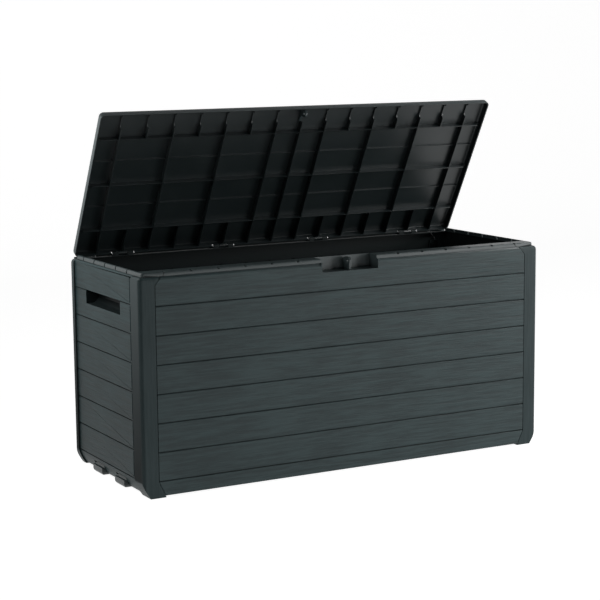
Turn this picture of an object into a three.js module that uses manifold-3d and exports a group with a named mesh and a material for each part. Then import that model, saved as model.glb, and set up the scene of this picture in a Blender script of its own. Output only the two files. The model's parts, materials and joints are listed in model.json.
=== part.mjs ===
// Deck storage box of moulded planks: four wall panels, a floor on four feet, and a ribbed lid on
// four hinge pins. Millimetres, +Z up, front towards -Y. The lid stands open at its rest angle.
import * as THREE from "three";
import { mergeVertices } from "three/addons/utils/BufferGeometryUtils.js";
import Module from "manifold-3d";

const wasm = await Module();
wasm.setup();

// ---- Driving dimensions -------------------------------------------------------------------
const LENGTH = 1160; // over the corner bands
const DEPTH = 440; // front face to rear face
const SHOULDER_HEIGHT = 540; // ledge that the lid closes over
const WALL = 4; // skin of the front, rear and plank walls
const GAP = 0.3; // between two pieces that touch

const CORNER_RADIUS = 8; // upright outer corners
const SHOULDER_RADIUS = 10; // top outer edge of the corner bands
const BAND_WIDTH = 43; // corner band seen from the front or the rear
const SIDE_BAND_FRONT = 52; // corner band seen from the end, front corner
const SIDE_BAND_REAR = 23; // corner band seen from the end, rear corner
const PLANK_INSET = 4.5; // end planks lie this far behind the bands
const SEAM = 1.2; // open seam between a band and the panel beside it
const TONGUE = 3.3; // tongue behind each seam, from the panel's back inwards
const BAND_FLARE = 19; // how far the band widens at the foot
const BAND_FLARE_HEIGHT = 40;
const BAND_CHAMFER = 17; // how far the band widens at the shoulder
const BAND_CHAMFER_HEIGHT = 21;

const PLANK_PITCH = 71.3;
const LOWEST_JOINT = 41; // height of the lowest plank joint
const PLANK_JOINTS = 7;
const GROOVE_WIDTH = 4;
const GROOVE_DEPTH = 2.4;
const INNER_RIDGE = 2.5; // ridge inside the wall behind each groove

const TUCK = 20; // how far the end walls curve in at the bottom
const TUCK_HEIGHT = 42;
const PANEL_CLEARANCE = 4.5; // panel bottoms above the ground between the legs
const LEG_PLATE = 4; // thickness of the plate that closes each leg

const RIM_HEIGHT = 9.5;
const RIM_SET_IN = 7; // rim foot behind the front face
const END_RIM_SET_IN = 10.5; // rim foot behind the end bands
const REAR_RIM_SET_IN = 18.4; // rear end of the rims before the rear face
const RIM_LEAN = 3; // how far the rim's outer face leans in
const RIM_UPRIGHT = 4; // height of the rim's face before it leans
const RIM_RADIUS = 8; // plan corners, inside the lid's own
const RIM_WIDTH = 7; // rim on the end walls, at its foot
const LEDGE = 3; // thickness of the ledge and the shelf
const SHELF_DEPTH = 37; // front shelf, from the rim foot to its inner lip
const SHELF_LIP = 24; // height of the shelf's inner lip
const REAR_LEDGE = 20; // rear ledge that carries the hinges, from the rear face inwards
const REAR_LIP = [3, 3]; // thickness and height of the lip that closes the slit behind the lid
const REAR_LIP_CLEARANCE = 0.5; // lip behind the lid's barrels
const REAR_LIP_END = 10; // lip's ends before the ends of the box

const RIB_PITCH = 73; // lid ribs across the depth, and their slots in the shelf
const RIBS_EACH_SIDE = 7;
const RIB_SLOT = [6, 12]; // width and length
const OUTER_ROW = 75.7; // lid's front and rear planks; those between share the rest
const ROWS_EACH_SIDE = 2;
const GAP_PITCH = 69.4; // gaps in the end rims
const GAPS_MIDDLE = 13.6; // middle gap behind the middle of the body
const RIM_GAP = 4.5;

const RECESS_HALF = 81; // padlock recess in the middle of the front
const RECESS_FLOOR = 516;
const RECESS_DEPTH = 44;
const RECESS_WALL = 3;

const HANDLE_LENGTH = 219; // pocket in each end wall
const HANDLE_MIDDLE = 16.3; // pocket's middle behind the middle of the body
const HANDLE_HEIGHT = 35;
const HANDLE_DEPTH = 36;
const HANDLE_WALL = 2.5;

const FLOOR_UNDERSIDE = 28;
const FLOOR_THICKNESS = 4;
const FLOOR_FIT = 0.6; // floor to walls
const FLOOR_RIB = [3, 11]; // width and height
const SEAT = [7, 3]; // seat for the floor along the walls: width and thickness
const FOOT_WIDTH = 60;
const FOOT_OFFSET = 71.3; // feet in front of and behind their middle
const FEET_MIDDLE = 9.8; // behind the middle of the body
const FOOT_LENGTH = 72;
const FOOT_LEDGE = 20; // height of the step on top of each foot
const FOOT_STEP = 6; // depth of that step
const FOOT_ROUND = [9, 8]; // radius of the outer edge and of the two sides
const FOOT_LIFT = 0.5; // feet above the ground that the legs stand on

const LID_OPEN = 60.8; // degrees from closed, in the rest pose
const LID_SET_IN = 3.5; // lid's front face behind the body's front face
const LID_REAR_SET_IN = 11.5; // lid's rear face before the body's rear face
const LID_END_SET_IN = 6.5; // lid's end behind the corner bands
const LID_GAP = 1; // skirt's edge above the ledge
const LID_HEIGHT = 21;
const LID_SKIN = 3;
const LID_RADIUS = 12; // plan corners
const LID_EDGE = 9; // rounding of the top edge
const RIB_THICKNESS = 2.4;
const RIB_HEIGHT = 15;
const LOW_RIB = 5; // ribs where they pass over the shelf
const END_RIB = 7; // ribs where they pass over the end rims
const RIDGE_HEIGHT = 4; // low ridges under the plank joints

const HINGE_CLEARANCE = 0.6; // barrels above the shoulder
const HINGE_STATIONS = [-6, -2, 2, 6]; // in rib pitches from the middle
const BARREL_RADIUS = 5;
const PIN_RADIUS = 2;
const LID_BARREL = 24;
const BODY_BARREL = 16;
const BARREL_SPACING = 0.8;
const NOTCH = 0.8; // lid's rear skirt clear of the body's barrels
const PIN_HEAD = [3.5, 1.5]; // radius and thickness

const EYE_PLATE = 7; // thickness of the padlock eye in the recess
const EYE_HOLE = 4.6; // radius
const EYE_BEHIND = 18; // hole centre behind the front face
const EYE_HEIGHT = 538;
const EYE_RADIUS = 10;
const HASP_PLATE = 6;
const HASP_RADIUS = 9;
const EYE_TO_HASP = 2.5;
const HASP_ARM = 31.2; // from the hasp's hole back to the middle rib

// ---- Places that follow -------------------------------------------------------------------
const halfLength = LENGTH / 2;
const front = -DEPTH / 2;
const rear = DEPTH / 2;
const rimTop = SHOULDER_HEIGHT + RIM_HEIGHT;
const rimFront = front + RIM_SET_IN;
const rimEnd = halfLength - END_RIM_SET_IN;
const rimInside = rimEnd - RIM_WIDTH;
const shelfInside = rimFront + SHELF_DEPTH;
const wallInside = halfLength - PLANK_INSET - WALL;
const seamX = halfLength - BAND_WIDTH;
const rimJoint = RIBS_EACH_SIDE * RIB_PITCH;
const lidEdge = SHOULDER_HEIGHT + LID_GAP;
const lidTop = lidEdge + LID_HEIGHT;
const lidUnder = lidTop - LID_SKIN;
const lidHalfX = halfLength - LID_END_SET_IN;
const lidFront = front + LID_SET_IN;
const lidRear = rear - LID_REAR_SET_IN;
const lidMiddle = (lidFront + lidRear) / 2;
const rowPitch = (lidRear - lidFront - 2 * OUTER_ROW) / (2 * ROWS_EACH_SIDE);
const hinge = { y: lidRear, z: SHOULDER_HEIGHT + HINGE_CLEARANCE + BARREL_RADIUS };
const eyeY = front + EYE_BEHIND;

// ---- Shapes -------------------------------------------------------------------------------
function solid(geometry) {
  const bare = geometry.clone();
  bare.deleteAttribute("normal");
  bare.deleteAttribute("uv");
  const merged = mergeVertices(bare, 1e-4);
  const vertProperties = new Float32Array(merged.attributes.position.array);
  const triVerts = new Uint32Array(merged.index.array);
  return new wasm.Manifold(new wasm.Mesh({ numProp: 3, vertProperties, triVerts }));
}

function box(x0, x1, y0, y1, z0, z1) {
  const geometry = new THREE.BoxGeometry(x1 - x0, y1 - y0, z1 - z0);
  geometry.translate((x0 + x1) / 2, (y0 + y1) / 2, (z0 + z1) / 2);
  return solid(geometry);
}

// An outline of [u, v] points swept along one axis: (y, z) along X, (x, z) along Y, (x, y) along Z.
function prism(points, axis, from, to, holes = []) {
  const shape = new THREE.Shape(points.map(([u, v]) => new THREE.Vector2(u, v)));
  for (const hole of holes) {
    shape.holes.push(new THREE.Path(hole.map(([u, v]) => new THREE.Vector2(u, v))));
  }
  const geometry = new THREE.ExtrudeGeometry(shape, { depth: to - from, bevelEnabled: false });
  const turn = new THREE.Matrix4();
  if (axis === "X") turn.set(0, 0, 1, from, 1, 0, 0, 0, 0, 1, 0, 0, 0, 0, 0, 1);
  if (axis === "Y") turn.set(1, 0, 0, 0, 0, 0, -1, to, 0, 1, 0, 0, 0, 0, 0, 1);
  if (axis === "Z") turn.set(1, 0, 0, 0, 0, 1, 0, 0, 0, 0, 1, from, 0, 0, 0, 1);
  return solid(geometry.applyMatrix4(turn));
}

function arc(u, v, radius, from, to, steps) {
  const points = [];
  for (let i = 0; i <= steps; i += 1) {
    const angle = THREE.MathUtils.degToRad(from + ((to - from) * i) / steps);
    points.push([u + radius * Math.cos(angle), v + radius * Math.sin(angle)]);
  }
  return points;
}

const circle = (u, v, radius, steps = 20) => arc(u, v, radius, 0, 360, steps).slice(0, -1);

function roundedRectangle(halfX, halfY, radius) {
  const points = [];
  const corners = [[1, 1, 0], [-1, 1, 90], [-1, -1, 180], [1, -1, 270]];
  for (const [sx, sy, start] of corners) {
    const u = sx * (halfX - radius);
    const v = sy * (halfY - radius);
    points.push(...arc(u, v, radius, start, start + 90, 4));
  }
  return points;
}

// A slab with rounded plan corners whose top edge is rounded (or leans) by size and drop.
function easedBlock(halfX, y0, y1, radius, z0, z1, size, drop, steps) {
  const middle = (y0 + y1) / 2;
  const outline = roundedRectangle(halfX - size, (y1 - y0) / 2 - size, Math.max(radius - size, 0.5));
  const shape = new THREE.Shape(outline.map(([u, v]) => new THREE.Vector2(u, v + middle)));
  const base = z0 - drop - 5;
  const geometry = new THREE.ExtrudeGeometry(shape, {
    depth: z1 - drop - base,
    bevelThickness: drop,
    bevelSize: size,
    bevelSegments: steps,
  });
  geometry.translate(0, 0, base);
  return solid(geometry).intersect(box(-halfX - 1, halfX + 1, y0 - 1, y1 + 1, z0, z1 + 1));
}

// The outline of an end wall seen from the front, e out from the middle: it tucks in at the bottom
// and rounds over at the shoulder.
function endOutline(e, bottom, shoulderRadius) {
  const right = [];
  const steps = 6;
  for (let i = 0; i <= steps; i += 1) {
    const z = bottom + ((TUCK_HEIGHT - bottom) * i) / steps;
    right.push([e - TUCK * (1 - z / TUCK_HEIGHT) ** 1.5, z]);
  }
  right.push(...arc(e - shoulderRadius, SHOULDER_HEIGHT - shoulderRadius, shoulderRadius, 0, 90, 3));
  const left = right.map(([x, z]) => [-x, z]).reverse();
  return [...right, ...left];
}

// The front or rear panel's outline between the bands, grown outwards by a seam.
function panelOutline(grow) {
  const x = seamX + grow;
  const foot = seamX - BAND_FLARE + grow;
  const top = seamX - BAND_CHAMFER + grow;
  const rim = rimJoint + grow;
  const half = [
    [foot, -1],
    [foot, 0],
    [x, BAND_FLARE_HEIGHT],
    [x, SHOULDER_HEIGHT - BAND_CHAMFER_HEIGHT],
    [top, SHOULDER_HEIGHT],
    [rim, SHOULDER_HEIGHT + 0.01],
    [rim, rimTop + 10],
  ];
  return [...half, ...half.map(([u, v]) => [-u, v]).reverse()];
}

function grooveHeights() {
  return Array.from({ length: PLANK_JOINTS }, (_, i) => LOWEST_JOINT + PLANK_PITCH * i);
}

// ---- Body walls ---------------------------------------------------------------------------
function wallsTogether() {
  const far = LENGTH;
  const outline = endOutline(halfLength, 0, SHOULDER_RADIUS);
  let walls = easedBlock(
    halfLength, front, rear, CORNER_RADIUS, 0, SHOULDER_HEIGHT, SHOULDER_RADIUS, SHOULDER_RADIUS, 3,
  ).intersect(prism(outline, "Y", front - 1, rear + 1));

  const planks = prism(
    endOutline(halfLength - PLANK_INSET, 0, END_RIM_SET_IN - PLANK_INSET), "Y", front, rear,
  );
  const plankZone = box(-far, far, front + SIDE_BAND_FRONT, rear - SIDE_BAND_REAR, -1, far);
  walls = walls.subtract(plankZone.subtract(planks));

  const rim = easedBlock(
    rimEnd, rimFront, rear - REAR_RIM_SET_IN, RIM_RADIUS, SHOULDER_HEIGHT - 1, rimTop,
    RIM_LEAN, RIM_HEIGHT - RIM_UPRIGHT, 2,
  );
  walls = walls.add(rim);

  const cavity = endOutline(wallInside, -5, SHOULDER_RADIUS).map(([x, z]) => [
    x, Math.min(z, SHOULDER_HEIGHT - LEDGE),
  ]);
  walls = walls.subtract(prism(cavity, "Y", front + WALL, rear - WALL));
  walls = walls.subtract(
    box(-rimInside - 3, rimInside + 3, rimFront + LEDGE, shelfInside, 500, rimTop - LEDGE),
  );
  const lip = box(
    -rimInside - 1, rimInside + 1, shelfInside - LEDGE, shelfInside, rimTop - SHELF_LIP, rimTop - 1,
  );
  walls = walls.add(lip);
  walls = walls.subtract(
    box(-rimInside, rimInside, shelfInside, rear - REAR_LEDGE, SHOULDER_HEIGHT - 20, far),
  );
  walls = walls.subtract(
    box(-rimInside, rimInside, shelfInside, rear, SHOULDER_HEIGHT, far),
  );

  const lipEnd = halfLength - REAR_LIP_END;
  const lipFront = hinge.y + BARREL_RADIUS + REAR_LIP_CLEARANCE;
  walls = walls.add(
    box(
      -lipEnd, lipEnd, lipFront, lipFront + REAR_LIP[0],
      SHOULDER_HEIGHT - 5, SHOULDER_HEIGHT + REAR_LIP[1],
    ),
  );

  // Between the legs the walls stop clear of the ground.
  const clear = box(-far, far, front + SIDE_BAND_FRONT, rear - SIDE_BAND_REAR, -1, PANEL_CLEARANCE);
  walls = walls.subtract(clear);
  for (const side of [-1, 1]) {
    for (let row = -ROWS_EACH_SIDE; row <= ROWS_EACH_SIDE; row += 1) {
      const y = GAPS_MIDDLE + row * GAP_PITCH;
      const x0 = side > 0 ? rimInside - 1 : -rimEnd - 1;
      const x1 = side > 0 ? rimEnd + 1 : -rimInside + 1;
      walls = walls.subtract(
        box(x0, x1, y - RIM_GAP / 2, y + RIM_GAP / 2, SHOULDER_HEIGHT, far),
      );
    }
  }
  return walls;
}

function grooveAcrossFront(z) {
  const half = GROOVE_WIDTH / 2;
  const v = [[front - 1, z - half - 1], [front + GROOVE_DEPTH, z], [front - 1, z + half + 1]];
  return prism(v, "X", -halfLength, halfLength);
}

function ridgeBehindFront(z) {
  const inside = front + WALL;
  const v = [[inside - 0.5, z - 4], [inside + INNER_RIDGE, z], [inside - 0.5, z + 4]];
  return prism(v, "X", -seamX + 24, seamX - 24);
}

function plankPanel(walls, side) {
  const outline = panelOutline(0);
  const zone = side < 0
    ? prism(outline, "Y", front - 1, shelfInside + RECESS_WALL + 10)
    : prism(outline, "Y", rear - 25, rear + 1);
  let panel = walls.intersect(zone);
  panel = panel.subtract(box(-LENGTH, LENGTH, front - 1, rear + 1, -1, PANEL_CLEARANCE));
  for (const z of grooveHeights()) {
    const groove = grooveAcrossFront(z);
    const ridge = ridgeBehindFront(z);
    panel = panel.subtract(side < 0 ? groove : groove.rotate([0, 0, 180]));
    panel = panel.add(side < 0 ? ridge : ridge.rotate([0, 0, 180]));
  }
  const seatTop = FLOOR_UNDERSIDE - GAP;
  const seatX = seamX - 30;
  const inside = -front - WALL;
  const seat = side < 0
    ? box(-seatX, seatX, -inside - 0.5, -inside + SEAT[0], seatTop - SEAT[1], seatTop)
    : box(-seatX, seatX, inside - SEAT[0], inside + 0.5, seatTop - SEAT[1], seatTop);
  return panel.add(seat);
}

function frontPanel(walls) {
  let panel = plankPanel(walls, -1);
  const back = front + RECESS_DEPTH + RECESS_WALL;
  const pocket = [
    [front, RECESS_FLOOR - RECESS_WALL],
    [front, SHOULDER_HEIGHT],
    [rimFront, SHOULDER_HEIGHT],
    [rimFront, SHOULDER_HEIGHT + RIM_UPRIGHT],
    [rimFront + RIM_LEAN, rimTop],
    [back, rimTop],
    [back, RECESS_FLOOR - RECESS_WALL],
  ];
  const outside = RECESS_HALF + RECESS_WALL;
  panel = panel.add(prism(pocket, "X", -outside, outside));
  panel = panel.subtract(
    box(-RECESS_HALF, RECESS_HALF, front - 1, front + RECESS_DEPTH, RECESS_FLOOR, rimTop + 1),
  );
  for (let rib = -RIBS_EACH_SIDE; rib <= RIBS_EACH_SIDE; rib += 1) {
    const x = rib * RIB_PITCH;
    if (Math.abs(x) > outside) {
      const y0 = rimFront + RIM_LEAN / 6;
      const half = RIB_SLOT[0] / 2;
      panel = panel.subtract(
        box(x - half, x + half, y0, y0 + RIB_SLOT[1], rimTop - LEDGE - 4, rimTop + 1),
      );
    }
  }
  return panel;
}

function hingeX() {
  return HINGE_STATIONS.map((ribs) => ribs * RIB_PITCH);
}

function rearPanel(walls) {
  let panel = plankPanel(walls, 1);
  const { y, z } = hinge;
  const r = BARREL_RADIUS;
  const bracket = [
    [y - r + 0.1, SHOULDER_HEIGHT - 1],
    [y + r + 3, SHOULDER_HEIGHT - 1],
    [y + r - 0.1, z],
    [y - r + 0.1, z],
  ];
  const inner = LID_BARREL / 2 + BARREL_SPACING;
  for (const x of hingeX()) {
    for (const side of [-1, 1]) {
      const x0 = side > 0 ? x + inner : x - inner - BODY_BARREL;
      const x1 = x0 + BODY_BARREL;
      panel = panel.add(prism(bracket, "X", x0, x1));
      panel = panel.add(prism(circle(y, z, r), "X", x0, x1));
      panel = panel.subtract(prism(circle(y, z, PIN_RADIUS + GAP), "X", x0 - 1, x1 + 1));
    }
  }
  return panel;
}

function footOutline(grow) {
  const y = FOOT_WIDTH / 2 + grow;
  const top = FLOOR_UNDERSIDE - GAP + grow;
  const bottom = FOOT_LIFT - grow;
  const r = FOOT_ROUND[1];
  return [
    [-y, top], ...arc(-y + r, bottom + r, r, 180, 270, 4), ...arc(y - r, bottom + r, r, 270, 360, 4), [y, top],
  ];
}

function endPanel(walls, side) {
  let panel = walls.intersect(
    side > 0
      ? box(0, LENGTH, front - 1, rear + 1, -1, LENGTH)
      : box(-LENGTH, 0, front - 1, rear + 1, -1, LENGTH),
  );
  panel = panel.subtract(prism(panelOutline(SEAM), "Y", front - 1, shelfInside + 10));
  panel = panel.subtract(prism(panelOutline(SEAM), "Y", rear - 25, rear + 1));
  panel = panel.subtract(box(-seamX + 25, seamX - 25, front - 1, rear + 1, -1, LENGTH));

  const at = (x0, x1, y0, y1, z0, z1) => (side > 0
    ? box(x0, x1, y0, y1, z0, z1)
    : box(-x1, -x0, y0, y1, z0, z1));

  // Tongues that run behind the front and rear panels.
  for (const face of [-1, 1]) {
    const skin = rear - WALL;
    const behind = (x0, x1, near, far, z0, z1) => (face > 0
      ? at(x0, x1, far, near, z0, z1)
      : at(x0, x1, -near, -far, z0, z1));
    const inner = skin - TONGUE;
    const foot = seamX - BAND_FLARE - 4;
    panel = panel.add(behind(seamX + SEAM, seamX + 9, skin + 1, inner, PANEL_CLEARANCE, 515));
    panel = panel.add(behind(seamX - 18, seamX + 9, skin - GAP, inner, 45, 515));
    panel = panel.add(behind(foot, seamX + 9, skin - GAP, inner, PANEL_CLEARANCE, 46));
    // A plate closes the foot of each leg.
    const legFront = face < 0 ? SIDE_BAND_FRONT : SIDE_BAND_REAR;
    const plate = behind(
      seamX - BAND_FLARE + SEAM, halfLength - TUCK - 1, rear - 1, rear - legFront, 0, LEG_PLATE,
    );
    panel = panel.add(plate);
  }

  // Plank joints.
  const plane = halfLength - PLANK_INSET;
  for (const z of grooveHeights()) {
    const half = GROOVE_WIDTH / 2;
    const v = [[side * (plane + 1), z - half - 1], [side * (plane - GROOVE_DEPTH + 0.4), z],
      [side * (plane + 1), z + half + 1]];
    panel = panel.subtract(prism(v, "Y", front + SIDE_BAND_FRONT + 0.01, rear - SIDE_BAND_REAR - 0.01));
  }

  // Handle pocket under the top joint.
  const top = LOWEST_JOINT + PLANK_PITCH * (PLANK_JOINTS - 1) + 1;
  const low = top - HANDLE_HEIGHT;
  const y0 = HANDLE_MIDDLE - HANDLE_LENGTH / 2;
  const y1 = HANDLE_MIDDLE + HANDLE_LENGTH / 2;
  const deep = plane - HANDLE_DEPTH;
  const w = HANDLE_WALL;
  panel = panel.add(at(deep - w, plane - 1, y0 - w, y1 + w, low - w, top + w));
  const hollow = [
    [plane + 2, low], [plane + 2, top], [deep + 6, top], [deep, top - 8], [deep, low + 14],
    [deep + 10, low + 3], [deep + 16, low],
  ].map(([x, z]) => [side * x, z]);
  panel = panel.subtract(prism(hollow, "Y", y0, y1));

  // Windows that the floor's feet pass through.
  for (const y of [FEET_MIDDLE - FOOT_OFFSET, FEET_MIDDLE + FOOT_OFFSET]) {
    const window = footOutline(FLOOR_FIT).map(([u, v]) => [u + y, v]);
    const x0 = side > 0 ? halfLength - 60 : -halfLength - 1;
    panel = panel.subtract(prism(window, "X", x0, x0 + 61));
  }
  return panel;
}

// ---- Floor and feet -----------------------------------------------------------------------
function floorPanel() {
  const under = FLOOR_UNDERSIDE;
  const tuckedIn = TUCK * (1 - under / TUCK_HEIGHT) ** 1.5;
  const x = wallInside - tuckedIn - FLOOR_FIT;
  const y = rear - WALL - 4;
  let floor = box(-x, x, -y, y, under, under + FLOOR_THICKNESS);
  const ribX = halfLength - FOOT_LENGTH - 30;
  for (const across of [-2, 0, 2]) {
    const at = across * rowPitch;
    floor = floor.add(
      box(-ribX, ribX, at - FLOOR_RIB[0] / 2, at + FLOOR_RIB[0] / 2, under - FLOOR_RIB[1], under + 1),
    );
  }
  for (let rib = -6; rib <= 6; rib += 2) {
    const at = rib * RIB_PITCH;
    floor = floor.add(
      box(at - FLOOR_RIB[0] / 2, at + FLOOR_RIB[0] / 2, -y + 12, y - 12, under - FLOOR_RIB[1], under + 1),
    );
  }
  return floor;
}

function foot(side, y) {
  const outer = halfLength - PLANK_INSET;
  const inner = outer - FOOT_LENGTH;
  const top = FLOOR_UNDERSIDE - GAP;
  const bottom = FOOT_LIFT;
  const r = FOOT_ROUND[0];
  const profile = [
    [inner, bottom], ...arc(outer - r, bottom + r, r, 270, 360, 5),
    [outer, FOOT_LEDGE], [outer - FOOT_STEP, FOOT_LEDGE], [outer - FOOT_STEP - 4, top], [inner, top],
  ].map(([u, v]) => [side * u, v]);
  const across = footOutline(0).map(([u, v]) => [u + y, v]);
  return prism(profile, "Y", y - FOOT_WIDTH, y + FOOT_WIDTH)
    .intersect(prism(across, "X", -LENGTH, LENGTH));
}

// ---- Lid, modelled closed -----------------------------------------------------------------
function ribAcrossDepth(from, to) {
  const y0 = lidFront + LID_SKIN;
  const high = lidUnder - RIB_HEIGHT;
  const low = lidUnder - LOW_RIB;
  const up = lidUnder + 0.5;
  const overShelf = front + RECESS_DEPTH + RECESS_WALL + 4;
  const points = [[from, up]];
  if (from <= y0) {
    const slot = rimFront + RIM_LEAN / 2;
    points.push(
      [from, low - 2], [slot + 1, low - 2], [slot + 2.5, rimTop - 2], [slot + 7, rimTop - 2],
      [slot + 9, low], [overShelf - 8, low], [overShelf - 3, low - 3], [overShelf, high],
    );
  } else {
    points.push([from, high]);
  }
  points.push([to, high], [to, up]);
  return points;
}

function lidSolid() {
  let lid = easedBlock(
    lidHalfX, lidFront, lidRear, LID_RADIUS, lidEdge, lidTop, LID_EDGE, LID_EDGE, 3,
  );
  const innerX = lidHalfX - LID_SKIN;
  const innerFront = lidFront + LID_SKIN;
  const innerRear = lidRear - LID_SKIN;
  const innerEdge = LID_EDGE - LID_SKIN;
  lid = lid.subtract(
    easedBlock(
      innerX, innerFront, innerRear, LID_RADIUS - LID_SKIN, lidEdge - 1, lidUnder, innerEdge, innerEdge, 2,
    ),
  );
  const ribEnd = innerX + 1;
  const highEnd = rimInside - 2.5;
  for (let row = -ROWS_EACH_SIDE; row <= ROWS_EACH_SIDE; row += 1) {
    const y = lidMiddle + row * rowPitch;
    const groove = [[y - 2.5, lidTop + 0.5], [y, lidTop - 1.8], [y + 2.5, lidTop + 0.5]];
    lid = lid.subtract(prism(groove, "X", -lidHalfX - 1, lidHalfX + 1));
    const half = RIB_THICKNESS / 2;
    const up = lidUnder + 0.5;
    if (row % 2 === 0) {
      lid = lid.add(box(-highEnd, highEnd, y - half, y + half, lidUnder - RIB_HEIGHT, up));
      lid = lid.add(box(-ribEnd, ribEnd, y - half, y + half, lidUnder - END_RIB, up));
    } else {
      lid = lid.add(box(-ribEnd, ribEnd, y - half, y + half, lidUnder - RIDGE_HEIGHT, up));
    }
  }
  const frontRow = lidMiddle - ROWS_EACH_SIDE * rowPitch;
  const rearRow = lidMiddle + ROWS_EACH_SIDE * rowPitch;
  for (let rib = -RIBS_EACH_SIDE; rib <= RIBS_EACH_SIDE; rib += 1) {
    const x = rib * RIB_PITCH;
    const half = RIB_THICKNESS / 2;
    const frontEnd = rib === 0 ? eyeY + HASP_ARM : innerFront;
    if (rib % 2 !== 0 || rib === 0) {
      lid = lid.add(prism(ribAcrossDepth(frontEnd, innerRear), "X", x - half, x + half));
    } else {
      lid = lid.add(prism(ribAcrossDepth(innerFront, frontRow), "X", x - half, x + half));
      lid = lid.add(prism(ribAcrossDepth(rearRow, innerRear), "X", x - half, x + half));
    }
  }
  const { y, z } = hinge;
  const notchRadius = BARREL_RADIUS + NOTCH;
  const reach = LID_BARREL / 2 + BARREL_SPACING + BODY_BARREL + PIN_HEAD[1] + 2;
  for (const x of hingeX()) {
    const x0 = x - LID_BARREL / 2;
    const x1 = x + LID_BARREL / 2;
    lid = lid.subtract(prism(circle(y, z, notchRadius), "X", x - reach, x + reach));
    lid = lid.subtract(
      box(x - reach, x + reach, y - notchRadius, y + 1, lidEdge - 1, z),
    );
    lid = lid.add(prism(circle(y, z, BARREL_RADIUS), "X", x0, x1));
    lid = lid.add(box(x0, x1, innerRear, lidRear, z, z + notchRadius + 1));
    lid = lid.subtract(prism(circle(y, z, PIN_RADIUS + GAP), "X", x0 - 1, x1 + 1));
  }
  return lid;
}

// ---- Small pieces -------------------------------------------------------------------------
function hingePin(x) {
  const { y, z } = hinge;
  const half = LID_BARREL / 2 + BARREL_SPACING + BODY_BARREL;
  const pin = prism(circle(y, z, PIN_RADIUS), "X", x - half - 1, x + half + 1);
  const [headRadius, head] = PIN_HEAD;
  return pin.add(prism(circle(y, z, headRadius), "X", x + half + GAP, x + half + GAP + head));
}

function lockEye() {
  const x0 = EYE_TO_HASP / 2;
  const bottom = RECESS_FLOOR + GAP;
  const back = front + RECESS_DEPTH - GAP;
  const outline = [
    [eyeY - EYE_RADIUS + 2, bottom],
    ...arc(eyeY, EYE_HEIGHT, EYE_RADIUS, 180, 90, 5),
    [back - 10, EYE_HEIGHT + EYE_RADIUS],
    [back, EYE_HEIGHT + 4],
    [back, bottom],
  ];
  const hole = circle(eyeY, EYE_HEIGHT, EYE_HOLE, 16);
  return prism(outline, "X", x0, x0 + EYE_PLATE, [hole]);
}

function lidHasp() {
  const x1 = -EYE_TO_HASP / 2;
  const root = lidUnder - GAP;
  const back = eyeY + HASP_ARM - GAP;
  const outline = [
    [lidFront + LID_EDGE + 1, root],
    [eyeY - HASP_RADIUS, EYE_HEIGHT + 6],
    ...arc(eyeY, EYE_HEIGHT, HASP_RADIUS, 180, 360, 8),
    [eyeY + HASP_RADIUS + 4, EYE_HEIGHT + 12],
    [back, lidUnder - 6],
    [back, root],
  ];
  const hole = circle(eyeY, EYE_HEIGHT, EYE_HOLE, 16);
  return prism(outline, "X", x1 - HASP_PLATE, x1, [hole]);
}

// ---- Assembly -----------------------------------------------------------------------------
const finishes = {
  shell: { color: 0x2b3336, roughness: 0.62, metalness: 0 },
  lid: { color: 0x2a3235, roughness: 0.6, metalness: 0 },
  inner: { color: 0x20282b, roughness: 0.6, metalness: 0 },
  fitting: { color: 0x252d30, roughness: 0.5, metalness: 0 },
  steel: { color: 0x8c9092, roughness: 0.35, metalness: 1 },
};

function mesh(name, made, finish) {
  const { vertProperties, triVerts } = made.getMesh();
  const geometry = new THREE.BufferGeometry();
  geometry.setAttribute("position", new THREE.BufferAttribute(new Float32Array(vertProperties), 3));
  geometry.setIndex(new THREE.BufferAttribute(new Uint32Array(triVerts), 1));
  const piece = new THREE.Mesh(geometry, new THREE.MeshStandardMaterial(finishes[finish]));
  piece.name = name;
  return piece;
}

const body = new THREE.Group();
const walls = wallsTogether();
body.add(mesh("front_panel", frontPanel(walls), "shell"));
body.add(mesh("rear_panel", rearPanel(walls), "shell"));
body.add(mesh("left_end_panel", endPanel(walls, -1), "shell"));
body.add(mesh("right_end_panel", endPanel(walls, 1), "shell"));
body.add(mesh("floor_panel", floorPanel(), "inner"));
for (const [sideName, side] of [["left", -1], ["right", 1]]) {
  for (const [rowName, offset] of [["front", -FOOT_OFFSET], ["rear", FOOT_OFFSET]]) {
    body.add(mesh(`foot_${sideName}_${rowName}`, foot(side, FEET_MIDDLE + offset), "inner"));
  }
}
body.add(mesh("lock_eye", lockEye(), "fitting"));
hingeX().forEach((x, i) => body.add(mesh(`hinge_pin_${i + 1}`, hingePin(x), "steel")));

// The lid turns about the hinge axis: its meshes are moved so that the axis is their origin.
const lidGroup = new THREE.Group();
for (const piece of [mesh("lid", lidSolid(), "lid"), mesh("lid_hasp", lidHasp(), "fitting")]) {
  piece.position.set(0, -hinge.y, -hinge.z);
  lidGroup.add(piece);
}
lidGroup.position.set(0, hinge.y, hinge.z);
lidGroup.rotation.x = -THREE.MathUtils.degToRad(LID_OPEN);

// The origin is on the ground at the middle of the box that bounds the whole part at rest.
const group = new THREE.Group();
group.add(body, lidGroup);
group.updateMatrixWorld(true);
const bounds = new THREE.Box3().setFromObject(group, true);
const middleY = (bounds.min.y + bounds.max.y) / 2;
group.position.set(0, -middleY, 0);

export default group;
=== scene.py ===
# %% [markdown]
# # Deck storage box of moulded planks
# A long outdoor chest of dark resin. Its walls are moulded to look like boards, its lid is a thin
# skin with stiffening ribs underneath, and the lid turns on four hinge pins at the back.
# The measured model gives every piece its place and size. Here each piece gets its finished shape
# and its surface, and stays inside the box that bounds the measured model.

import json
import math

import bmesh
import bpy
from mathutils import Matrix, Vector

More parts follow.
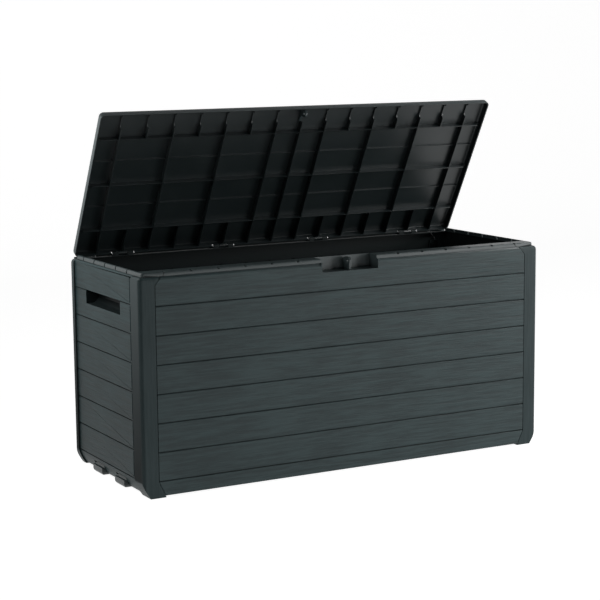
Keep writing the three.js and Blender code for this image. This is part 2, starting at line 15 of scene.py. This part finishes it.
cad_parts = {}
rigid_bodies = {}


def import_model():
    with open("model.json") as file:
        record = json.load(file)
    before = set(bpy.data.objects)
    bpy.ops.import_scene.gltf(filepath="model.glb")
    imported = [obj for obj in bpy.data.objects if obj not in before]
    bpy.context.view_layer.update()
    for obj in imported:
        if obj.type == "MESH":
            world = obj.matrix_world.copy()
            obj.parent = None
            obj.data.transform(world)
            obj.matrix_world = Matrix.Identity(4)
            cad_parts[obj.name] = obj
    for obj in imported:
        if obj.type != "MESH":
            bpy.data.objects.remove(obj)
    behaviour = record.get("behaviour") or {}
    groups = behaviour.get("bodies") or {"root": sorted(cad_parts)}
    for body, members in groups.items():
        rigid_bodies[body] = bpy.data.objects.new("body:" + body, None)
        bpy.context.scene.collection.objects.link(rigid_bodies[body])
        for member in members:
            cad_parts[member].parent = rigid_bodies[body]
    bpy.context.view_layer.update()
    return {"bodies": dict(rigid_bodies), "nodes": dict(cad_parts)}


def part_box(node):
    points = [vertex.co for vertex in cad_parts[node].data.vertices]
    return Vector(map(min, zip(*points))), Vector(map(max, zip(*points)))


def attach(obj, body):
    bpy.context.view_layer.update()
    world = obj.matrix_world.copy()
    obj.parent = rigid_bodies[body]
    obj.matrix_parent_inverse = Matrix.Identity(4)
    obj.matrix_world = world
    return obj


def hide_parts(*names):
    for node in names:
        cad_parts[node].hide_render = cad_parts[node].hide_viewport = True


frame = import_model()
MM = 0.001
print("nodes:", sorted(frame["nodes"]))


# %% [markdown]
# ## Maths on sockets
# A surface is a small calculation that runs at every point: where am I on the board, how deep is
# the grain here. Wiring Math nodes by hand hides that calculation, so one small class wraps a
# socket and lets us write it as an ordinary expression. Each operator adds its Math node.

# %% A socket that understands + - * /
class Value:
    def __init__(self, finish, socket):
        self.finish = finish
        self.socket = socket

    def _math(self, operation, first, second=None):
        sockets = {0: first} if second is None else {0: first, 1: second}
        return self.finish.add("ShaderNodeMath", {"operation": operation}, sockets)

    def __add__(self, other):
        return self._math("ADD", self, other)

    def __radd__(self, other):
        return self._math("ADD", other, self)

    def __sub__(self, other):
        return self._math("SUBTRACT", self, other)

    def __rsub__(self, other):
        return self._math("SUBTRACT", other, self)

    def __mul__(self, other):
        return self._math("MULTIPLY", self, other)

    def __rmul__(self, other):
        return self._math("MULTIPLY", other, self)

    def __truediv__(self, other):
        return self._math("DIVIDE", self, other)

    def floor(self):
        return self._math("FLOOR", self)


# %% [markdown]
# ## One finish, one material
# A finish on the real box is a resin and the skin that its mould gave it. Here it is a material
# made of nodes. They could be placed one by one, but every finish needs the same few, so one
# method adds any node from its type, its settings and its sockets, and short helpers call it.

# %% A finish: one material and the method that adds its nodes
class Finish:
    def __init__(self, name):
        self.material = bpy.data.materials.new(name)
        self.material.use_nodes = True
        self.nodes = self.material.node_tree.nodes
        self.links = self.material.node_tree.links
        self.nodes.clear()

    def add(self, kind, settings=None, sockets=None, output=0):
        node = self.nodes.new(kind)
        for key, setting in (settings or {}).items():
            if key == "stops":
                self._set_stops(node.color_ramp, setting)
            else:
                setattr(node, key, setting)
        for key, value in (sockets or {}).items():
            if isinstance(value, Value):
                self.links.new(value.socket, node.inputs[key])
            else:
                node.inputs[key].default_value = value
        return Value(self, node.outputs[output]) if node.outputs else None

    def _set_stops(self, ramp, stops):
        while len(ramp.elements) < len(stops):
            ramp.elements.new(0.5)
        for element, (place, shade) in zip(ramp.elements, stops):
            element.position = place
            element.color = (shade, shade, shade, 1)

    def vector(self, x, y, z):
        return self.add("ShaderNodeCombineXYZ", None, {0: x, 1: y, 2: z})

    def noise(self, place, scale, detail=2.0, roughness=0.5):
        return self.add(
            "ShaderNodeTexNoise",
            {"noise_dimensions": "3D"},
            {"Vector": place, "Scale": scale, "Detail": detail, "Roughness": roughness},
        )

    def ramp(self, value, stops):
        return self.add("ShaderNodeValToRGB", {"stops": stops}, {0: value})

    def blend(self, factor, first, second):
        return self.add(
            "ShaderNodeMix",
            {"data_type": "RGBA"},
            {0: factor, 6: (*first, 1), 7: (*second, 1)},
            output=2,
        )

    def moulded(self):
        """Where a point lies on its piece as it left the mould: x, y and z."""
        place = self.add("ShaderNodeAttribute", {"attribute_name": "moulded"}, None, "Vector")
        split = self.nodes.new("ShaderNodeSeparateXYZ")
        self.links.new(place.socket, split.inputs[0])
        return place, [Value(self, out) for out in split.outputs]

    def sunk(self):
        """1 at the bottom of a joint or end groove, where shade is painted into the colour, and 0
        on the boards' faces.
        """
        return self.add("ShaderNodeAttribute", {"attribute_name": "sunk"}, None, "Fac")

    # Mixes a colour toward near black: the painted shade in the joints and end grooves.
    def darken(self, colour, amount):
        return self.add(
            "ShaderNodeMix",
            {"data_type": "RGBA"},
            {0: amount, 6: colour, 7: (0.004, 0.005, 0.005, 1)},
            output=2,
        )

    def bump(self, height, strength, distance):
        return self.add(
            "ShaderNodeBump",
            None,
            {"Height": height, "Strength": strength, "Distance": distance},
        )

    def surface(self, sockets):
        shader = self.add("ShaderNodeBsdfPrincipled", None, sockets)
        self.add("ShaderNodeOutputMaterial", None, {"Surface": shader})
        return self.material


# %% [markdown]
# ## Moulded wood grain
# The boards are not wood: the steel mould was etched with long, fine, slightly wavy lines, and the
# resin copied them. The lines are far too small to model one by one, so they are a bump in the
# finish: noise that is stretched along the board. Three sizes of line are mixed, a slow noise bends
# them, and every board gets its own stretch of noise, so no line runs on across a joint.
# The same calculation serves boards that lie along the front, along the ends, and upright bands.

# %% Grain finish
PITCH = 71.3  # from one joint of the walls to the next, in millimetres
LOWEST = 41.0  # height of the lowest joint
ROW_PITCH = 68.4  # from one joint of the lid to the next
LID_MIDDLE = -4.0  # the lid's middle joint


def grained(name, along, dark, light, board=None, depth=0.0022, rough=0.5, gloss=0.3):
    finish = Finish(name)
    place, (x, y, z) = finish.moulded()
    length, across = {"x": (x, y + z), "y": (y, x + z), "z": (z, x + y)}[along]
    board_number = 0.0
    if board == "wall":
        board_number = ((z - LOWEST * MM) / (PITCH * MM)).floor()
    if board == "lid":
        board_number = ((y - LID_MIDDLE * MM) / (ROW_PITCH * MM)).floor()
    slow = finish.noise(finish.vector(length * 5, across * 16, board_number), 1.0, 1.0)
    wavy = across + (slow - 0.5) * 0.004
    broad = finish.noise(finish.vector(length * 9, wavy * 130, board_number * 5.3), 1.0, 2.0)
    coarse = finish.noise(
        finish.vector(length * 16, wavy * 300, board_number * 3.7), 1.0, 3.0, 0.6
    )
    fine = finish.noise(finish.vector(length * 50, wavy * 900, board_number * 1.9), 1.0, 2.0)
    lines = broad * 0.5 + coarse * 0.32 + fine * 0.18
    patches = finish.noise(place, 7.0, 2.0)
    scuffs = finish.ramp(
        finish.noise(finish.vector(length * 9, across * 40, 4.0), 1.0, 4.0, 0.7),
        [(0.62, 0.0), (0.8, 1.0)],
    )
    tone = finish.ramp(lines + (patches - 0.5) * 0.25, [(0.4, 0.0), (0.6, 1.0)])
    # Painted shade: the board colour goes toward near black where the joint mask is 1.
    colour = finish.darken(finish.blend(tone, dark, light), finish.sunk() * 0.85)
    return finish.surface(
        {
            "Base Color": colour,
            "Roughness": rough + (lines - 0.5) * 0.3 + scuffs * 0.08 + finish.sunk() * 0.3,
            "Normal": finish.bump(lines, 0.75, depth),
            "Specular IOR Level": gloss,
        }
    )


BOARD_SHADES = ((0.015, 0.029, 0.031), (0.036, 0.060, 0.063))
front_grain = grained("board_grain_lengthways", "x", *BOARD_SHADES, "wall")
end_grain = grained("board_grain_on_ends", "y", *BOARD_SHADES, "wall", gloss=0.15)
band_grain = grained(
    "band_grain_upright", "z", (0.021, 0.036, 0.038), (0.034, 0.052, 0.055), depth=0.0008, gloss=0.2
)
lid_grain = grained("lid_grain_lengthways", "x", *BOARD_SHADES, "lid")
print("grain finishes:", front_grain.name, end_grain.name, band_grain.name, lid_grain.name)


# %% [markdown]
# ## Smooth resin
# Inside, and on the rim, the mould was only blasted, which leaves a faint leathery skin: smoother
# than the boards, so it shows soft broad highlights. One function makes the shade for the rim and
# feet, two darker ones for the inside and the lid's underside, where the same resin is darkened as
# painted shade, and the one for the fittings.

# %% Smooth finishes
def smooth(name, dark, light, rough, skin=0.00006, gloss=0.5):
    finish = Finish(name)
    place, _ = finish.moulded()
    leather = finish.noise(place, 620.0, 2.0)
    flow = finish.noise(place, 9.0, 3.0, 0.6)
    handling = finish.ramp(finish.noise(place, 28.0, 5.0, 0.7), [(0.55, 0.0), (0.8, 1.0)])
    return finish.surface(
        {
            "Base Color": finish.blend(flow * 0.7 + leather * 0.3, dark, light),
            "Roughness": rough + (flow - 0.5) * 0.12 + handling * 0.07,
            "Normal": finish.bump(leather * 0.5 + flow * 2.0, 0.5, skin),
            "Specular IOR Level": gloss,
        }
    )


rim_resin = smooth("rim_resin", (0.026, 0.039, 0.041), (0.038, 0.054, 0.056), 0.42)
# Painted shade: the inside and the lid's underside are the rim's resin, given darker colours for
# the shade there.
inner_resin_painted_shade = smooth(
    "inner_wall_resin_painted_shade", (0.008, 0.012, 0.012), (0.013, 0.018, 0.019), 0.5, gloss=0.12
)
lid_under_resin_painted_shade = smooth("lid_under_resin_painted_shade", (0.010, 0.015, 0.016), (0.016, 0.022, 0.023), 0.34)
fitting_resin = smooth("fitting_resin", (0.024, 0.035, 0.037), (0.035, 0.050, 0.052), 0.36)
for made in (rim_resin, inner_resin_painted_shade, lid_under_resin_painted_shade, fitting_resin):
    print("smooth finish:", made.name)


# %% [markdown]
# ## Steel for the hinge pins
# The pins are drawn wire with a zinc coat. Drawing leaves fine lines along the pin, and the zinc
# dulls in patches, so the roughness follows a stretched noise and a slow one.

# %% Steel finish
def zinc_steel():
    finish = Finish("zinc_steel")
    place, (x, y, z) = finish.moulded()
    drawn = finish.noise(finish.vector(x * 60, y * 2500, z * 2500), 1.0, 2.0)
    dull = finish.noise(place, 160.0, 3.0)
    return finish.surface(
        {
            "Base Color": finish.blend(dull, (0.42, 0.43, 0.44), (0.62, 0.63, 0.64)),
            "Metallic": 1.0,
            "Roughness": 0.24 + drawn * 0.2 + dull * 0.15,
            "Normal": finish.bump(drawn, 0.4, 0.00005),
        }
    )


pin_steel = zinc_steel()
print("steel finish:", pin_steel.name)


# %% [markdown]
# ## A clean copy of a measured piece
# A measured piece comes as loose triangles. To finish one, its copy is merged into one skin, and
# a narrow Bevel takes the knife edge off every corner, because resin never fills a mould's corner
# fully and that soft edge is what catches the light. Flat faces stay as triangles: the Bevel
# passes over edges that hardly turn, and weighted normals keep the faces looking flat.
# The measured piece itself is never touched.

# %% Copying, cutting and softening
def link(mesh, name):
    piece = bpy.data.objects.new(name, mesh)
    bpy.context.scene.collection.objects.link(piece)
    return piece


def merge_doubles(mesh):
    shape = bmesh.new()
    shape.from_mesh(mesh)
    bmesh.ops.remove_doubles(shape, verts=shape.verts, dist=0.004 * MM)
    shape.to_mesh(mesh)
    shape.free()


def clean_copy(node, name):
    mesh = frame["nodes"][node].data.copy()
    mesh.materials.clear()
    for attribute in [a.name for a in mesh.attributes if a.name.startswith("custom_normal")]:
        mesh.attributes.remove(mesh.attributes[attribute])
    merge_doubles(mesh)
    return link(mesh, name)


def bake(piece):
    """Turns the piece with its modifiers into one plain mesh and drops the modifiers."""
    bpy.context.view_layer.update()
    graph = bpy.context.evaluated_depsgraph_get()
    mesh = bpy.data.meshes.new_from_object(piece.evaluated_get(graph))
    piece.modifiers.clear()
    piece.data = mesh
    return piece


def cut_away(piece, cutter):
    cut = piece.modifiers.new("cut", "BOOLEAN")
    cut.operation = "DIFFERENCE"
    cut.object = cutter
    cut.solver = "EXACT"
    bake(piece)
    merge_doubles(piece.data)
    bpy.data.objects.remove(cutter)


def soften(piece, width):
    bevel = piece.modifiers.new("soft edges", "BEVEL")
    bevel.width = width * MM
    bevel.segments = 2
    bevel.limit_method = "ANGLE"
    bevel.angle_limit = math.radians(28)
    bevel.use_clamp_overlap = False
    bevel.harden_normals = False
    bake(piece)
    piece.data.shade_smooth()
    piece.data.set_sharp_from_angle(angle=math.radians(35))
    level = piece.modifiers.new("flat faces stay flat", "WEIGHTED_NORMAL")
    level.mode = "FACE_AREA"
    level.weight = 100
    level.keep_sharp = True
    return bake(piece)


# %% [markdown]
# ## A row of prisms, with Geometry Nodes
# The chamfers beside the joints, the grooves at the boards' ends and the stiffeners inside the
# walls all repeat at an even pitch. One node tree makes the three. It takes a flat outline, pulls
# it out to a thickness, closes its back, and sets copies of it on a line of points.

# %% The tree
def prism_row_tree():
    tree = bpy.data.node_groups.new("row of prisms", "GeometryNodeTree")
    kinds = [
        ("Outline", "NodeSocketGeometry"),
        ("Thickness", "NodeSocketVector"),
        ("Count", "NodeSocketInt"),
        ("First", "NodeSocketVector"),
        ("Step", "NodeSocketVector"),
        ("Finish", "NodeSocketMaterial"),
    ]
    for name, kind in kinds:
        tree.interface.new_socket(name, in_out="INPUT", socket_type=kind)
    tree.interface.new_socket("Row", in_out="OUTPUT", socket_type="NodeSocketGeometry")

    def node(kind, links, **settings):
        made = tree.nodes.new(kind)
        for key, value in settings.items():
            setattr(made, key, value)
        for key, source in links.items():
            if hasattr(source, "is_output"):
                tree.links.new(source, made.inputs[key])
            else:
                made.inputs[key].default_value = source
        return made

    given = tree.nodes.new("NodeGroupInput").outputs
    pulled = node(
        "GeometryNodeExtrudeMesh",
        {"Mesh": given["Outline"], "Offset": given["Thickness"], "Individual": False},
        mode="FACES",
    )
    back = node("GeometryNodeFlipFaces", {"Mesh": given["Outline"]})
    both = node("GeometryNodeJoinGeometry", {})
    tree.links.new(pulled.outputs["Mesh"], both.inputs[0])
    tree.links.new(back.outputs["Mesh"], both.inputs[0])
    closed = node("GeometryNodeMergeByDistance", {"Geometry": both.outputs[0], "Distance": 1e-6})
    line = node(
        "GeometryNodeMeshLine",
        {"Count": given["Count"], "Start Location": given["First"], "Offset": given["Step"]},
        mode="OFFSET",
    )
    copies = node(
        "GeometryNodeInstanceOnPoints",
        {"Points": line.outputs[0], "Instance": closed.outputs[0]},
    )
    real = node("GeometryNodeRealizeInstances", {"Geometry": copies.outputs[0]})
    painted = node(
        "GeometryNodeSetMaterial", {"Geometry": real.outputs[0], "Material": given["Finish"]}
    )
    result = tree.nodes.new("NodeGroupOutput")
    tree.links.new(painted.outputs[0], result.inputs[0])
    return tree


row_tree = prism_row_tree()
print("tree with", len(row_tree.nodes), "nodes")


# %% [markdown]
# ## Calling the tree
# The tree works on any mesh, so each row starts as one flat face. Its sizes go in by the socket's
# identifier, because a name may be used twice in a tree, and the result is baked to a plain mesh.

# %% Using the tree
def prism_row(name, outline, thickness, count, first, step):
    """Millimetres in: a flat outline of 3-D points, pulled out and repeated."""
    mesh = bpy.data.meshes.new(name)
    mesh.from_pydata([[c * MM for c in point] for point in outline], [], [range(len(outline))])
    mesh.update()
    if mesh.polygons[0].normal.dot(Vector(thickness)) < 0:
        mesh.flip_normals()
    piece = link(mesh, name)
    modifier = piece.modifiers.new("row", "NODES")
    modifier.node_group = row_tree
    values = {
        "Thickness": [c * MM for c in thickness],
        "Count": count,
        "First": [c * MM for c in first],
        "Step": [c * MM for c in step],
        "Finish": inner_resin_painted_shade,
    }
    for item in row_tree.interface.items_tree:
        if item.name in values:
            modifier[item.identifier] = values[item.name]
    return bake(piece)


# %% [markdown]
# ## Finishes by region, and where a point lay in the mould
# One moulding carries several finishes: grained boards outside, smooth resin inside. Each face
# picks its finish from where it lies and which way it looks. The finishes read the attribute
# "moulded", the place of each point in the closed box, so the open lid's grain stays on the lid.

# %% Finishing a piece
HINGE = Vector((0, 208.5, 545.6)) * MM
OPEN_ANGLE = math.radians(60.8)
opened = (
    Matrix.Translation(HINGE)
    @ Matrix.Rotation(-OPEN_ANGLE, 4, "X")
    @ Matrix.Translation(-HINGE)
)


def joint_shade_mask(place, on_lid):
    """1 where a point of an outer face lies at the bottom of a joint or end groove: where shade is
    painted in.
    """
    x, y, z = place
    if on_lid:
        row = (y - LID_MIDDLE) / ROW_PITCH
        return float(559.5 < z < 561.3 and abs(row - round(row)) * ROW_PITCH < 1.0)
    # The upright grooves of the end boards are darkened with painted shade too.
    in_end_groove = 572.6 < abs(x) < 574.6 and -163 < y < -154 and z > 42
    if in_end_groove:
        return 1.0
    joint = (z - LOWEST) / PITCH
    near = abs(joint - round(joint)) * PITCH < 1.1 and -0.5 < joint < 6.5
    return float(near and (abs(y) > 217 or abs(x) > 572.5))


def complete(piece, body, nodes, finishes, choose=None, on_lid=False):
    mesh = piece.data
    mesh.materials.clear()
    for finish in finishes:
        mesh.materials.append(finish)
    for face in mesh.polygons:
        place = [c / MM for c in face.center]
        face.material_index = choose(place, face.normal) if choose else 0
    moulded = mesh.attributes.new("moulded", "FLOAT_VECTOR", "POINT")
    for vertex, item in zip(mesh.vertices, moulded.data):
        item.vector = vertex.co
    # Painted shade: each point's joint mask, by which the grain finishes darken the groove bottoms.
    sunk = mesh.attributes.new("sunk", "FLOAT", "POINT")
    for vertex, item in zip(mesh.vertices, sunk.data):
        item.value = joint_shade_mask(vertex.co / MM, on_lid)
    if on_lid:
        mesh.transform(opened)
    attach(piece, body)
    if nodes:
        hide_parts(*nodes)
    print(piece.name, "faces:", len(mesh.polygons))
    return piece


bodies = frame["bodies"]
base_body = next(name for name in bodies if "lid" not in name)
lid_body = next(name for name in bodies if "lid" in name)
print("bodies:", base_body, lid_body)

# %% [markdown]
# ## Joints between boards
# Each joint is a V about 4 mm wide with a shallow chamfer beside it: above the V on the front
# and below it on the ends. The V is in the measured walls, and its bottom is darkened with painted
# shade. The chamfer is cut here by a row of thin wedges, one for each joint, which the tree sets
# out at the pitch of the boards.

# %% Wedges for the chamfers
COURSES = (7, (0, 0, LOWEST), (0, 0, PITCH))  # count, first and step of the joints
CHAMFER_DEPTH = 0.8
CHAMFER_OVER = 1.2  # how far a wedge stands out of the wall, so that it cuts cleanly
CHAMFER_NEAR, CHAMFER_FAR = 1.4, 13.9  # distances from the middle of the joint
WALL_FACE = 220.0
WEDGE_HALF = 520.0


def front_wedges(side):
    """Wedges along X above the joints of the front (side -1) or rear (side 1) wall."""
    face = WALL_FACE * side
    outline = [
        (-WEDGE_HALF, face - CHAMFER_DEPTH * side, CHAMFER_NEAR),
        (-WEDGE_HALF, face + CHAMFER_OVER * side, CHAMFER_NEAR),
        (-WEDGE_HALF, face + CHAMFER_OVER * side, CHAMFER_FAR),
    ]
    return prism_row("joint wedges", outline, (2 * WEDGE_HALF, 0, 0), *COURSES)


def finish_of_long_wall(place, normal):
    """0 boards, 1 inside, 2 rim and recess."""
    x, y, z = place
    if abs(y) > 217 and z < 541:
        return 0
    if z > 528 and abs(y) > 209.5 and normal.z > 0.05:
        return 2
    return 2 if y < -170 and z > 515 and not (y > -177 and normal.y > 0.5) else 1


def long_wall(node, side):
    wall = clean_copy(node, node + "_boards")
    cut_away(wall, front_wedges(side))
    soften(wall, 0.5)
    return complete(
        wall,
        base_body,
        [node],
        [front_grain, inner_resin_painted_shade, rim_resin],
        finish_of_long_wall,
    )


long_wall("front_panel", -1)
long_wall("rear_panel", 1)

# %% [markdown]
# ## End walls
# Each end moulding is three things at once: boards set 4.5 mm back, the two corner bands that
# wrap round to the front and rear, and the segments of the rim. Near the front band each board
# has a shallow upright groove that stops short of the joints. The same tree makes its cutters.

# %% End walls with their chamfers
BOARD_FACE = 575.5
BOARDS_FRONT = -167.9
BOARDS_LENGTH = 364.8


def finish_of_end_wall(place, normal):
    """0 boards, 1 corner bands, 2 inside, 3 rim."""
    x, y, z = place
    if z > 541 or abs(x) < 494:
        return 3
    on_boards = -168.5 < y < 197.2 and abs(x) > 550
    if on_boards:
        looks_out = normal.x * x > 0.2 or abs(normal.z) > 0.5
        return 0 if looks_out and abs(x) > 571 - 22 * (z < 42) else 2
    outside = abs(x) > 572 or abs(y) > 214 or z < 42
    return 1 if outside else 2


def end_wall(node, side):
    wall = clean_copy(node, node + "_boards")
    face = BOARD_FACE * side
    wedge = [
        (face - CHAMFER_DEPTH * side, BOARDS_FRONT, -CHAMFER_NEAR),
        (face + CHAMFER_OVER * side, BOARDS_FRONT, -CHAMFER_NEAR),
        (face + CHAMFER_OVER * side, BOARDS_FRONT, -CHAMFER_FAR),
    ]
    cut_away(wall, prism_row("joint wedges", wedge, (0, BOARDS_LENGTH, 0), *COURSES))
    groove = [
        (face + 1.0 * side, -164.0, 5.0),
        (face - 2.4 * side, -161.0, 5.0),
        (face - 2.4 * side, -156.0, 5.0),
        (face + 1.0 * side, -152.0, 5.0),
    ]
    cut_away(wall, prism_row("end grooves", groove, (0, 0, PITCH - 9), *COURSES))
    soften(wall, 0.5)
    return complete(
        wall,
        base_body,
        [node],
        [end_grain, band_grain, inner_resin_painted_shade, rim_resin],
        finish_of_end_wall,
    )


end_wall("left_end_panel", -1)
end_wall("right_end_panel", 1)

# %% [markdown]
# ## Floor, feet and fittings
# These are plain mouldings that only need their edges softened. The feet carry the same smooth
# resin as the rim, the lock eye a slightly glossier one.

# %% Floor, feet and fittings
def plain(node, width, finish):
    piece = clean_copy(node, node + "_moulding")
    soften(piece, width)
    return complete(piece, base_body, [node], [finish])


plain("floor_panel", 0.5, inner_resin_painted_shade)
for foot in ("left_front", "left_rear", "right_front", "right_rear"):
    plain("foot_" + foot, 0.8, rim_resin)
plain("lock_eye", 0.8, fitting_resin)

# %% [markdown]
# ## Lid and hasp
# The lid is a thin shell with ribs beneath, moulded in one, and the hasp is a small eye plate at
# its front. The ribs are part of the measured lid, so its copy carries them. The copy is laid shut
# before it is softened and finished, so that its grain is laid out flat, and then opened again.

# %% Lid and hasp
def lid_piece(node, width, finishes, choose=None):
    piece = clean_copy(node, node + "_moulding")
    piece.data.transform(opened.inverted())
    soften(piece, width)
    return complete(piece, lid_body, [node], finishes, choose, on_lid=True)


def finish_of_lid(place, normal):
    """0 grained top, 1 underside, 2 skirt."""
    x, y, z = place
    if z > 560 and normal.z > 0.3:
        return 0
    outside = abs(x) > 571 or y < -214 or y > 206.5
    return 2 if outside and abs(normal.z) < 0.95 else 1


lid_piece("lid", 0.4, [lid_grain, lid_under_resin_painted_shade, rim_resin], finish_of_lid)
lid_piece("lid_hasp", 0.6, [fitting_resin])

# %% [markdown]
# ## Hinge pins
# Each pin is a straight rod with a flat head on one end. A lathe turns it in the workshop, so the
# mesh is turned too: an outline of radii along the axis, swept round it.

# %% Turned pins
def turned(name, profile, axis, sides=24):
    """Closed surface of revolution about X. profile holds (x, radius) pairs in millimetres."""
    shape = bmesh.new()
    rings = []
    for x, radius in profile:
        ring = []
        for i in range(sides):
            a = 2 * math.pi * i / sides
            y = axis.y / MM + radius * math.cos(a)
            z = axis.z / MM + radius * math.sin(a)
            ring.append(shape.verts.new(Vector((x, y, z)) * MM))
        rings.append(ring)
    for near, far in zip(rings, rings[1:]):
        for i in range(sides):
            j = (i + 1) % sides
            shape.faces.new((near[i], near[j], far[j], far[i]))
    shape.faces.new(list(reversed(rings[0])))
    shape.faces.new(rings[-1])
    bmesh.ops.recalc_face_normals(shape, faces=shape.faces)
    mesh = bpy.data.meshes.new(name)
    shape.to_mesh(mesh)
    shape.free()
    mesh.shade_smooth()
    mesh.set_sharp_from_angle(angle=math.radians(35))
    return link(mesh, name)


for number in (1, 2, 3, 4):
    low, high = [corner[0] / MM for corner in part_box(f"hinge_pin_{number}")]
    profile = [
        (low, 1.3),
        (low + 0.7, 2.0),
        (high - 1.5, 2.0),
        (high - 1.45, 3.1),
        (high - 1.1, 3.5),
        (high - 0.5, 3.45),
        (high, 2.7),
    ]
    pin = turned(f"hinge_pin_{number}_turned", profile, HINGE)
    complete(pin, base_body, [f"hinge_pin_{number}"], [pin_steel])

# %% [markdown]
# ## Stiffeners inside the walls
# The long walls are thin, so the mould adds low upright fins inside them at every rib pitch.
# They are a row of the same slim prism, 2 mm wide and 2.5 mm proud, set by the tree.

# %% Upright fins
def wall_fins(name, inside, side):
    outline = [
        (-1.0, inside + 0.4 * side, 62.0),
        (-0.6, inside - 2.4 * side, 66.0),
        (0.6, inside - 2.4 * side, 66.0),
        (1.0, inside + 0.4 * side, 62.0),
    ]
    fins = prism_row(name, outline, (0, 0, 430.0), 13, (-438, 0, 0), (73, 0, 0))
    return complete(fins, base_body, [], [inner_resin_painted_shade])


wall_fins("rear_wall_fins", 216.0, 1)
wall_fins("front_wall_fins", -216.0, -1)

# %% [markdown]
# ## Studio: floor, light and camera
# A pale sweep of paper carries the box: flat under it and curving up behind it, so no horizon
# shows. It could be lit until it is pale, but that would flood the dark box, so it glows a
# little instead, and only where it is seen directly or mirrored.

# %% Pale sweep
def studio_paper():
    """Pale paper that glows a little where it is seen, and only bounces light elsewhere."""
    paper = Finish("studio_paper")
    matt = paper.add("ShaderNodeBsdfDiffuse", None, {"Color": (0.42, 0.42, 0.42, 1)})
    glow = paper.add("ShaderNodeEmission", None, {"Color": (1, 1, 1, 1), "Strength": 0.93})
    seen = paper.add("ShaderNodeAddShader", None, {0: matt, 1: glow})
    bounce = paper.add("ShaderNodeBsdfDiffuse", None, {"Color": (0.5, 0.5, 0.5, 1)})
    direct = paper.add("ShaderNodeLightPath", None, None, "Is Camera Ray")
    mirrored = paper.add("ShaderNodeLightPath", None, None, "Is Glossy Ray")
    both = paper.add("ShaderNodeMixShader", None, {0: direct + mirrored, 1: bounce, 2: seen})
    paper.add("ShaderNodeOutputMaterial", None, {"Surface": both})
    return paper.material


def sweep():
    profile = [(-9.0, 0.0), (3.4, 0.0)]
    profile += [
        (3.4 + 2.2 * math.sin(a), 2.2 - 2.2 * math.cos(a))
        for a in [math.radians(d) for d in range(6, 91, 6)]
    ]
    profile.append((5.6, 9.0))
    verts = [(x, y, z - 0.0002) for y, z in profile for x in (-14.0, 14.0)]
    faces = [(2 * i, 2 * i + 1, 2 * i + 3, 2 * i + 2) for i in range(len(profile) - 1)]
    mesh = bpy.data.meshes.new("studio_sweep")
    mesh.from_pydata(verts, [], faces)
    mesh.shade_smooth()
    mesh.materials.append(studio_paper())
    piece = link(mesh, "studio_sweep")
    print("paper strips:", len(faces))


sweep()

# %% [markdown]
# ## Lights
# A product table has one broad soft light and some small ones that lift what it leaves dark. The
# broad one stands to the front right, a low one fills the front, and two small ones above the
# ends lift the end wall and the underside of the lid. A faint even glow fills the rest.

# %% Lights
def area_light(name, place, target, size, power):
    data = bpy.data.lights.new(name, "AREA")
    data.shape = "RECTANGLE"
    data.size, data.size_y = size
    data.energy = power
    lamp = bpy.data.objects.new(name, data)
    lamp.location = place
    lamp.rotation_euler = (Vector(target) - Vector(place)).to_track_quat("-Z", "Y").to_euler()
    lamp.visible_camera = False
    bpy.context.scene.collection.objects.link(lamp)
    print(name, power, "W")


area_light("key_front_right", (2.9, -2.6, 0.8), (0.3, 0, 0.2), (1.6, 1.2), 64)
area_light("side_right", (1.25, -0.42, 1.2), (0.55, 0.05, 0.72), (0.25, 0.5), 7.5)
area_light("fill_left", (-1.0, 0.05, 0.9), (-0.58, 0.05, 0.5), (0.3, 0.4), 3.4)
area_light("fill_front", (0.2, -3.2, 0.2), (0.2, 0, 0.1), (1.6, 0.4), 9)

surroundings = bpy.data.worlds.new("surroundings")
bpy.context.scene.world = surroundings
surroundings.use_nodes = True
background = surroundings.node_tree.nodes["Background"]
background.inputs["Color"].default_value = (1.0, 1.0, 1.0, 1)
background.inputs["Strength"].default_value = 0.10
bpy.context.scene.view_settings.view_transform = "Standard"

# %% [markdown]
# ## Camera
# The box is seen from its front left and a little from above, through a long lens that keeps its
# edges nearly parallel. The direction is given as two angles and a slight roll, which are easier
# to adjust than a rotation matrix, and a helper works the matrix out from them.

# %% Camera
def look(azimuth, elevation, roll, place, lens):
    az, el, turn = [math.radians(a) for a in (azimuth, elevation, roll)]
    ahead = Vector((math.sin(az) * math.cos(el), math.cos(az) * math.cos(el), -math.sin(el)))
    right = ahead.cross(Vector((0, 0, 1))).normalized()
    up = right.cross(ahead)
    tilted_right = math.cos(turn) * right + math.sin(turn) * up
    tilted_up = math.cos(turn) * up - math.sin(turn) * right
    data = bpy.data.cameras.new("camera")
    data.sensor_width = 36
    data.lens = lens
    data.clip_end = 60
    camera = bpy.data.objects.new("camera", data)
    axes = Matrix((tilted_right, tilted_up, -ahead)).transposed().to_4x4()
    camera.matrix_world = Matrix.Translation(place) @ axes
    bpy.context.scene.collection.objects.link(camera)
    bpy.context.scene.camera = camera
    return camera


camera = look(28.698, 8.803, -0.563, (-2.1852, -3.9451, 1.1102), 103.81)
print("camera at", [round(c, 3) for c in camera.location])
